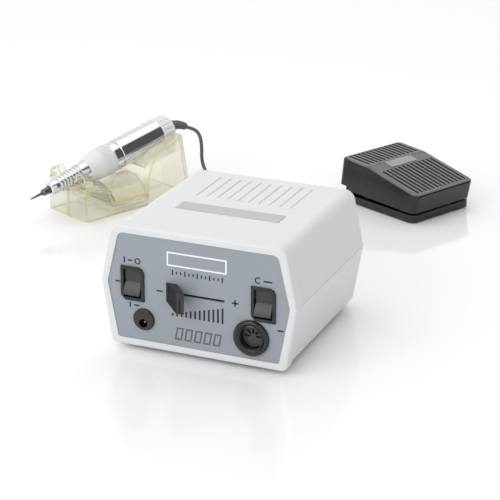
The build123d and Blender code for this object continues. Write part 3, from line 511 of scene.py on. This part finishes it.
# ---------------------------------------------------------------- rocker switches
# Two snap-in rocker switches of black nylon. Each frame has two corners cut off, and each cap is
# a separate moulding with two swelling faces that meet at a crease, tipped so its top is pressed in.
ROCKER_X, ROCKER_Z, ROCKER_PIVOT = 50.6 * MM, 52.2 * MM, 4.2 * MM
CAP_HALF_WIDTH, CAP_HALF_HEIGHT, CAP_DEPTH, CAP_TIP = 6.5 * MM, 9.7 * MM, 5.9 * MM, math.radians(-12)
CAP_VALLEY, CAP_SWELL = 2.6 * MM, 0.35 * MM
switch_nylon = finish("switch_nylon", (0.010, 0.010, 0.011), 0.34, grain=(1900.0, 0.003))
cap_nylon = finish("cap_nylon", (0.028, 0.028, 0.030), 0.34, grain=(2400.0, 0.002), cloud=(90.0, 0.12))


def rocker_cap(name, node, side):
    """A block cut into thin bands, its front creased across the middle, then tipped about its pivot."""
    centre = Vector((PANEL_X + side * ROCKER_X, PANEL_FRONT + ROCKER_PIVOT, ROCKER_Z))
    bpy.ops.object.select_all(action="DESELECT")
    bpy.ops.mesh.primitive_cube_add(size=2, location=(0, 0, 0),
                                    scale=(CAP_HALF_WIDTH, CAP_DEPTH, CAP_HALF_HEIGHT))
    bpy.ops.object.transform_apply()
    bpy.ops.object.mode_set(mode="EDIT")
    for band in range(1, 16):
        bpy.ops.mesh.select_all(action="SELECT")
        bpy.ops.mesh.bisect(plane_co=(0, 0, CAP_HALF_HEIGHT * (band / 8 - 1)), plane_no=(0, 0, 1))
    bpy.ops.object.mode_set(mode="OBJECT")
    cap = bpy.context.object
    cap.name = name
    for vertex in cap.data.vertices:
        share = vertex.co.z / CAP_HALF_HEIGHT
        if vertex.co.y < 0:
            vertex.co.y = (-CAP_DEPTH + CAP_VALLEY * (1 - abs(share))
                           - CAP_SWELL * math.sin(math.pi * abs(share)))
    cap.data.transform(Matrix.Translation(centre) @ Matrix.Rotation(CAP_TIP, 4, "X"))
    eased(cap, 0.4, 3, 50)
    stands_for(cap, node, node, "rocker_black", cap_nylon)


rocker_cap("power_rocker_cap", "power_rocker", -1)
rocker_cap("direction_rocker_cap", "direction_rocker", 1)
for switch in ("power", "direction"):
    housing = softened(switch + "_switch_housing", switch + "_switch_frame", 0.3)
    stands_for(housing, switch + "_switch_housing", "root", "switch_black", switch_nylon)


# ---------------------------------------------------------------- speed slider
# A slide control behind the panel carries a flat stem, and a push-on thumb grip of black ABS.
# The grip leans to the right: its long left flank is ribbed and its narrow front has a pointer.
SLOT_Z, KNOB_BASE, KNOB_FRONT = 49.6 * MM, 0.4 * MM, 13.0 * MM
KNOB_LEFT, KNOB_RIGHT, KNOB_FRONT_LEFT, KNOB_FRONT_RIGHT = -5.3 * MM, 3.4 * MM, 8.2 * MM, 14.6 * MM
KNOB_HALF_HEIGHT, KNOB_SAG, KNOB_RISE = 7.8 * MM, 1.5 * MM, 1.9 * MM
RIB_PITCH, RIB_GAP, RIB_DEPTH = 2.1 * MM, 1.15 * MM, 1.1 * MM
POINTER_HALF, POINTER_TOP, POINTER_DEPTH = 0.7 * MM, 1.8 * MM, 0.9 * MM
stem_low, stem_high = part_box("speed_stem")
STEM_X = (stem_low.x + stem_high.x) / 2

bpy.ops.object.select_all(action="DESELECT")
knob_middle = Vector((STEM_X + (KNOB_LEFT + KNOB_RIGHT) / 2, PANEL_FRONT - (KNOB_BASE + KNOB_FRONT) / 2,
                      SLOT_Z - KNOB_SAG))
bpy.ops.mesh.primitive_cube_add(size=1, location=knob_middle,
                                scale=(KNOB_RIGHT - KNOB_LEFT, KNOB_FRONT - KNOB_BASE, 2 * KNOB_HALF_HEIGHT))
knob = bpy.context.object
knob.name = "speed_grip"
bpy.ops.object.transform_apply()
bpy.ops.object.mode_set(mode="EDIT")
choose(lambda c, n: n.y < -0.9)
bpy.ops.transform.resize(value=((KNOB_FRONT_RIGHT - KNOB_FRONT_LEFT) / (KNOB_RIGHT - KNOB_LEFT), 1, 1.0),
                         center_override=(knob_middle.x, PANEL_FRONT - KNOB_FRONT, SLOT_Z))
bpy.ops.transform.translate(value=((KNOB_FRONT_LEFT + KNOB_FRONT_RIGHT - KNOB_LEFT - KNOB_RIGHT) / 2, 0, 0))
choose(lambda c, n: n.y > 0.9)
bpy.ops.transform.resize(value=(1, 1, 0.93),
                         center_override=(knob_middle.x, PANEL_FRONT - KNOB_BASE, knob_middle.z))
bpy.ops.transform.translate(value=(0, 0, KNOB_RISE))
for rib in range(-4, 4):
    for edge in (-1, 1):
        bpy.ops.mesh.select_all(action="SELECT")
        bpy.ops.mesh.bisect(plane_co=(0, 0, SLOT_Z + rib * RIB_PITCH + edge * RIB_GAP / 2),
                            plane_no=(0, 0, 1))
pointer_x = STEM_X + (KNOB_FRONT_LEFT + KNOB_FRONT_RIGHT) / 2
for edge in (-1, 1):
    bpy.ops.mesh.select_all(action="SELECT")
    bpy.ops.mesh.bisect(plane_co=(pointer_x + edge * POINTER_HALF, 0, 0), plane_no=(1, 0, 0))
choose(lambda c, n: n.x < -0.4 and any(
    abs(c.z - SLOT_Z - rib * RIB_PITCH) < RIB_GAP * 0.45 for rib in range(-4, 4)))
bpy.ops.mesh.extrude_region_shrink_fatten(TRANSFORM_OT_shrink_fatten={"value": -RIB_DEPTH})
choose(lambda c, n: n.y < -0.9 and abs(c.x - pointer_x) < POINTER_HALF and c.z < SLOT_Z + POINTER_TOP
       and c.y < PANEL_FRONT - KNOB_FRONT + 0.1 * MM)
bpy.ops.mesh.extrude_region_move(TRANSFORM_OT_translate={"value": (0, POINTER_DEPTH, 0)})
bpy.ops.object.mode_set(mode="OBJECT")
eased(knob, 0.28, 2)
grip_black = finish("grip_black", (0.016, 0.016, 0.018), 0.34, grain=(2200.0, 0.003), cloud=(120.0, 0.10))
stands_for(knob, "speed_knob", "speed_slider", "knob_black", grip_black)
dress(switch_nylon, "speed_stem")


# ---------------------------------------------------------------- sockets
# The handpiece plugs into a round five-way socket with a heavy rolled rim, and the pedal into a
# small barrel jack with a bright centre pin. Both are glossy black mouldings nutted to the panel.
SOCKET_X, SOCKET_Z, INSERT_DEPTH, INSERT_RADIUS = 41.6 * MM, 25.6 * MM, 2.5 * MM, 7.85 * MM
CONTACT_CIRCLE, CONTACT_LENGTH, CONTACT_WIDTH = 4.4 * MM, 4.0 * MM, 1.5 * MM
RING_PROFILE = ((13.5, 0.0), (13.5, 1.3), (13.2, 2.1), (12.5, 2.7), (11.6, 3.0), (10.8, 2.8), (10.3, 2.2),
                (9.6, 1.7), (9.2, 2.1), (8.8, 2.3), (8.4, 2.1), (8.25, 1.4), (8.25, -5.0), (11.0, -5.0),
                (11.0, 0.0), (13.5, 0.0))
socket_gloss = finish("socket_gloss", (0.010, 0.010, 0.011), 0.13, grain=(1500.0, 0.002), smudge=(60.0, 0.03))
dress(socket_gloss, "pedal_jack_ring", "plug_shell")
dress(finish("nickel", (0.72, 0.71, 0.68), 0.16, grain=(2500.0, 0.002), Metallic=1.0), "plug_sleeve")
dress(finish("pin_brass", (0.30, 0.27, 0.22), 0.35, grain=(2500.0, 0.002), Metallic=1.0), "pedal_jack_pin")


def turned(name, profile, sides, across):
    """A ring turned from radius and height pairs in millimetres, about the Z axis, then set in place."""
    bpy.ops.object.select_all(action="DESELECT")
    (last_radius, last_height), *rest = profile
    bpy.ops.mesh.primitive_circle_add(vertices=sides, radius=last_radius * MM, fill_type="NOTHING",
                                      location=(0, 0, last_height * MM))
    piece = bpy.context.object
    piece.name = name
    bpy.ops.object.transform_apply()
    bpy.ops.object.mode_set(mode="EDIT")
    bpy.ops.mesh.select_mode(type="EDGE")
    bpy.ops.mesh.select_all(action="SELECT")
    for radius, height in rest:
        step = (0, 0, (height - last_height) * MM)
        bpy.ops.mesh.extrude_region_move(TRANSFORM_OT_translate={"value": step})
        bpy.ops.transform.resize(value=(radius / last_radius, radius / last_radius, 1),
                                 center_override=(0, 0, height * MM))
        last_radius, last_height = radius, height
    bpy.ops.mesh.select_all(action="SELECT")
    bpy.ops.mesh.remove_doubles(threshold=0.005 * MM)
    bpy.ops.mesh.normals_make_consistent(inside=False)
    bpy.ops.object.mode_set(mode="OBJECT")
    piece.data.transform(across)
    return piece


socket_axis = (Matrix.Translation((PANEL_X + SOCKET_X, PANEL_FRONT, SOCKET_Z))
               @ Matrix.Rotation(math.pi / 2, 4, "X"))
ring = turned("socket_rim", RING_PROFILE, 96, socket_axis)
eased(ring, 0.12, 2, 40)
stands_for(ring, "handpiece_socket_ring", "root", "socket_black", socket_gloss)

socket_face = Vector((PANEL_X + SOCKET_X, PANEL_FRONT + INSERT_DEPTH, SOCKET_Z))
bpy.ops.object.select_all(action="DESELECT")
bpy.ops.mesh.primitive_cylinder_add(vertices=64, radius=INSERT_RADIUS, depth=5.6 * MM,
                                    rotation=(math.pi / 2, 0, 0),
                                    location=socket_face + Vector((0, 2.9 * MM, 0)))
insert = bpy.context.object
insert.name = "socket_contacts"
bpy.ops.object.transform_apply()
bpy.ops.object.mode_set(mode="EDIT")
choose(lambda c, n: n.y < -0.9)
bpy.ops.mesh.inset(thickness=0.9 * MM)
bpy.ops.mesh.extrude_region_move(TRANSFORM_OT_translate={"value": (0, 0.5 * MM, 0)})
bpy.ops.mesh.inset(thickness=0.25 * MM)
bpy.ops.object.mode_set(mode="OBJECT")
for contact in range(5):
    angle = math.radians(45 * contact)
    reach = Matrix.Translation(socket_face) @ Matrix.Rotation(-angle, 4, "Y")
    bpy.ops.object.select_all(action="DESELECT")
    bpy.ops.mesh.primitive_cube_add(size=1, scale=(CONTACT_LENGTH, 5 * MM, CONTACT_WIDTH))
    slot_cutter = bpy.context.object
    bpy.ops.object.transform_apply()
    slot_cutter.data.transform(reach @ Matrix.Translation((CONTACT_CIRCLE, 0.5 * MM, 0)))
    alone(insert)
    cut = insert.modifiers.new("contact_slot", "BOOLEAN")
    cut.operation, cut.solver, cut.object = "DIFFERENCE", "EXACT", slot_cutter
    bpy.ops.object.modifier_apply(modifier=cut.name)
    bpy.data.objects.remove(slot_cutter)
eased(insert, 0.12, 2)
stands_for(insert, "handpiece_socket_insert", "root", "socket_insert",
           finish("contact_block", (0.045, 0.045, 0.048), 0.35, grain=(1700.0, 0.003)))


# ---------------------------------------------------------------- handpiece
# A turned nose of chromed brass, a white grip sleeve with fine ribs, a chromed twist ring that
# opens the collet, a chromed body tube and a fluted white end cap, all screwed up on one liner.
GRIP_STATIONS = ((44.5, 9.9), (46.2, 10.9), (50.0, 11.9), (55.0, 12.95), (60.0, 13.75), (64.0, 14.1),
                 (69.6, 14.2), (71.0, 13.9), (71.45, 13.2))
GRIP_BORE, GRIP_SIDES, RIB_START, RIB_END = 9.3, 144, 59.5, 70.0
mirror_chrome = finish("mirror_chrome", (0.74, 0.745, 0.76), 0.09, grain=(300.0, 0.0015), cloud=(30.0, 0.015),
                       smudge=(90.0, 0.02), Metallic=1.0)
dress(mirror_chrome, "lock_ring", "body_tube")
tool_steel = finish("tool_steel", (0.16, 0.155, 0.15), 0.30, grain=(3000.0, 0.004), cloud=(300.0, 0.15),
                    Metallic=1.0)
dress(tool_steel, "drill_bit", "collet")
handpiece_white = finish("handpiece_white", (0.74, 0.745, 0.75), 0.34, grain=(2600.0, 0.0015),
                         cloud=(30.0, 0.012), Coat_Weight=0.15, Coat_Roughness=0.15)

nose = softened("nose_cone", "nose_shell", 0.14)
stands_for(nose, "nose_cone", "handpiece", "chrome_polish", mirror_chrome)

turned_along = Matrix.Rotation(math.pi / 2, 4, "Y")
grip = turned("grip_shell", [(GRIP_BORE, GRIP_STATIONS[0][0]), *[(r, x) for x, r in GRIP_STATIONS],
                             (GRIP_BORE, GRIP_STATIONS[-1][0]), (GRIP_BORE, GRIP_STATIONS[0][0])],
              GRIP_SIDES, turned_along)
alone(grip)
bpy.ops.object.mode_set(mode="EDIT")
for edge in (RIB_START, RIB_END):
    bpy.ops.mesh.select_all(action="SELECT")
    bpy.ops.mesh.bisect(plane_co=(edge * MM, 0, 0), plane_no=(1, 0, 0))
choose(lambda c, n: RIB_START < c.x / MM < RIB_END and math.hypot(c.y, c.z) > 11 * MM
       and int(math.degrees(math.atan2(c.z, c.y)) / 2.5 + 144) % 3 == 0)
bpy.ops.mesh.extrude_region_shrink_fatten(TRANSFORM_OT_shrink_fatten={"value": -0.35 * MM})
bpy.ops.object.mode_set(mode="OBJECT")
grip.data.transform(HANDPIECE)
eased(grip, 0.08, 1, 40)
stands_for(grip, "grip_sleeve", "handpiece", "handpiece_white", handpiece_white)
end_cap = softened("rear_cap", "end_cap", 0.25, 2)
stands_for(end_cap, "rear_cap", "handpiece", "handpiece_white", handpiece_white)


# ---------------------------------------------------------------- strain relief
# A soft dark sleeve moulded onto the cord, ringed so that it bends evenly where it leaves the cap.
RELIEF_ROOT, RELIEF_TIP, RING_STEPS, RINGS = 5.0 * MM, 3.3 * MM, 6, 10
RING_GROOVE, RELIEF_TUCK = 0.95 * MM, 6.0 * MM
bpy.ops.object.select_all(action="DESELECT")
bpy.ops.mesh.primitive_circle_add(vertices=40, radius=RELIEF_ROOT, fill_type="NGON",
                                  rotation=(0, math.pi / 2, 0), location=(RELIEF_START - RELIEF_TUCK, 0, 0))
relief = bpy.context.object
relief.name = "cord_sleeve"
bpy.ops.object.transform_apply()
bpy.ops.object.mode_set(mode="EDIT")
bpy.ops.mesh.select_all(action="SELECT")
bpy.ops.mesh.extrude_region_move(TRANSFORM_OT_translate={"value": (RELIEF_TUCK, 0, 0)})
bpy.ops.mesh.spin(steps=RINGS * RING_STEPS, angle=RELIEF_TURN, center=(RELIEF_START, 0, -RELIEF_RADIUS),
                  axis=(0, -1, 0))
bpy.ops.mesh.select_all(action="SELECT")
bpy.ops.mesh.remove_doubles(threshold=0.01 * MM)
bpy.ops.mesh.normals_make_consistent(inside=False)
bpy.ops.object.mode_set(mode="OBJECT")
for vertex in relief.data.vertices:
    if vertex.co.x > RELIEF_START + 0.01 * MM:
        turn = math.atan2(vertex.co.x - RELIEF_START, vertex.co.z + RELIEF_RADIUS)
        share = turn / RELIEF_TURN
        middle = Vector((RELIEF_START + RELIEF_RADIUS * math.sin(turn), 0,
                         -RELIEF_RADIUS * (1 - math.cos(turn))))
        ring = 0.5 - 0.5 * math.cos(math.tau * RINGS * share)
        scale = (RELIEF_ROOT + (RELIEF_TIP - RELIEF_ROOT) * share - RING_GROOVE * (1 - ring)) / RELIEF_ROOT
        vertex.co = middle + (vertex.co - middle) * scale
relief.data.transform(HANDPIECE)
alone(relief)
bpy.ops.object.shade_smooth_by_angle(angle=math.radians(60))
stands_for(relief, "strain_relief", "handpiece", "relief_grey",
           finish("relief_pvc", (0.115, 0.112, 0.110), 0.5, grain=(2200.0, 0.005), cloud=(200.0, 0.12)))


# ---------------------------------------------------------------- cradle
# One thin clear moulding, tinted pale straw: a forked block in front, a tray under a barrel vault,
# and two tall wings behind. Its bevelled edges carry a darker straw colour, a painted shade that stands in
# for the eye seeing through more of the wall there.
straw_clear = finish("straw_clear", (0.985, 0.975, 0.84), 0.14, grain=(500.0, 0.002), cloud=(30.0, 0.01),
                     smudge=(70.0, 0.05), Transmission_Weight=0.92, IOR=1.30, Alpha=0.55)
# Painted shade: the bevel faces on the cradle's edges get this darker, yellower tint
straw_painted_edge_shade = finish("straw_painted_edge_shade", (0.80, 0.75, 0.40), 0.18, grain=(500.0, 0.002), cloud=(40.0, 0.04),
                    Transmission_Weight=0.3, IOR=1.4, Alpha=0.8)
cradle_copy = softened("cradle", "cradle_moulding", 0.75, 3, 30, 1, False)
stands_for(cradle_copy, "cradle", "root", "cradle_tint", straw_clear, straw_painted_edge_shade)


# ---------------------------------------------------------------- foot pedal
# A glossy black base tray on four rubber feet, and a treadle hinged on a steel pin at its low end,
# over a coil spring. The treadle's top has lengthwise ribs either side of a stippled band with a
# blank foil label. A dust wall stands on the tray under the treadle's high end.
PEDAL_LOW_END, PEDAL_HEADING = Vector((155.5, 155.6, 0)) * MM, math.radians(154.4)
PEDAL = Matrix.Translation(PEDAL_LOW_END) @ Matrix.Rotation(PEDAL_HEADING, 4, "Z")
BAND_START, BAND_END = 45.2, 60.2
WALL_START, WALL_END, WALL_HALF, WALL_LOW, WALL_HIGH = 77.0, 87.2, 33.6, 5.0, 18.0
SPRING_MIDDLE, SPRING_FOOT, SPRING_TOP, SPRING_RADIUS, SPRING_WIRE = 66.0, 3.42, 27.8, 4.4, 0.55
SPRING_RINGS, RING_SIDES, FLAT_END, SPRING_COILS = 168, 10, 0.12, 7
pedal_black = finish("pedal_black", (0.008, 0.008, 0.009), 0.20, grain=(1300.0, 0.0015), cloud=(25.0, 0.08))
# Painted sheen: a lighter grey for the treadle's upward faces, standing in for the bright room reflected in
# the black gloss
pedal_painted_sheen = finish("pedal_painted_sheen", (0.115, 0.116, 0.118), 0.34, grain=(1300.0, 0.002), cloud=(25.0, 0.06))
# The stippled band has its own grain and speckle, and its lighter grey on upward faces is painted sheen as
# well
pedal_stipple_painted_sheen = finish("pedal_stipple_painted_sheen", (0.085, 0.087, 0.088), 0.42, grain=(1500.0, 0.0033),
                       cloud=(700.0, 0.35))
stands_for(softened("pedal_base", "pedal_tray", 0.5, 2), "pedal_base", "root", "pedal_black", pedal_black)
treadle = softened("pedal_treadle", "treadle_shell", 0.15, 2)
stands_for(treadle, "pedal_treadle", "treadle", "pedal_black", pedal_black, pedal_painted_sheen, pedal_stipple_painted_sheen)
to_pedal = PEDAL.inverted()
# Upward faces of the treadle top get the painted sheen: the lighter grey on the ribs, and on the stippled
# band
for face in treadle.data.polygons:
    middle = to_pedal @ face.center
    if face.normal.z > 0.55 and middle.z > (24.0 + 0.2 * middle.x / MM) * MM:
        face.material_index = 2 if BAND_START < middle.x / MM < BAND_END else 1
dress(finish("pedal_foil", (0.30, 0.31, 0.315), 0.4, grain=(4000.0, 0.002), cloud=(90.0, 0.05)),
      "pedal_label")
dress(handpiece_white, "pedal_plunger")

bpy.ops.object.select_all(action="DESELECT")
bpy.ops.mesh.primitive_circle_add(vertices=RING_SIDES, radius=SPRING_WIRE * MM, fill_type="NOTHING",
                                  rotation=(math.pi / 2, 0, 0), location=(SPRING_RADIUS * MM, 0, 0))
spring = bpy.context.object
spring.name = "treadle_spring"
bpy.ops.object.transform_apply()
bpy.ops.object.mode_set(mode="EDIT")
bpy.ops.mesh.select_all(action="SELECT")
bpy.ops.mesh.spin(steps=SPRING_RINGS, angle=math.tau * SPRING_COILS, center=(0, 0, 0), axis=(0, 0, 1))
bpy.ops.object.mode_set(mode="OBJECT")
spring_rise = SPRING_TOP - SPRING_FOOT - 2 * SPRING_WIRE
for index, vertex in enumerate(spring.data.vertices):
    share = (index // RING_SIDES / SPRING_RINGS - FLAT_END) / (1 - 2 * FLAT_END)
    vertex.co.z += (SPRING_FOOT + SPRING_WIRE + min(1.0, max(0.0, share)) * spring_rise) * MM
    vertex.co.x += SPRING_MIDDLE * MM
spring.data.transform(PEDAL)
alone(spring)
bpy.ops.object.mode_set(mode="EDIT")
bpy.ops.mesh.select_all(action="SELECT")
bpy.ops.mesh.fill_holes(sides=RING_SIDES)
bpy.ops.mesh.normals_make_consistent(inside=False)
bpy.ops.object.mode_set(mode="OBJECT")
bpy.ops.object.shade_smooth()
stands_for(spring, "pedal_spring", "root", "screw_steel", zinc_steel)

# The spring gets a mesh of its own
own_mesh(spring)

bpy.ops.object.select_all(action="DESELECT")
wall_middle = Vector(((WALL_START + WALL_END) / 2, 0, (WALL_LOW + WALL_HIGH) / 2)) * MM
wall_size = Vector((WALL_END - WALL_START, 2 * WALL_HALF, WALL_HIGH - WALL_LOW)) * MM
bpy.ops.mesh.primitive_cube_add(size=1, location=wall_middle, scale=wall_size)
dust_wall = bpy.context.object
dust_wall.name = "pedal_dust_wall"
bpy.ops.object.transform_apply()
bpy.ops.object.mode_set(mode="EDIT")
choose(lambda c, n: n.z > 0.9)
bpy.ops.mesh.inset(thickness=1.6 * MM)
bpy.ops.mesh.extrude_region_move(TRANSFORM_OT_translate={"value": (0, 0, -8 * MM)})
bpy.ops.object.mode_set(mode="OBJECT")
dust_wall.data.transform(PEDAL)
eased(dust_wall, 0.5, 2)
dust_wall.data.materials.append(pedal_black)
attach(dust_wall, "root")
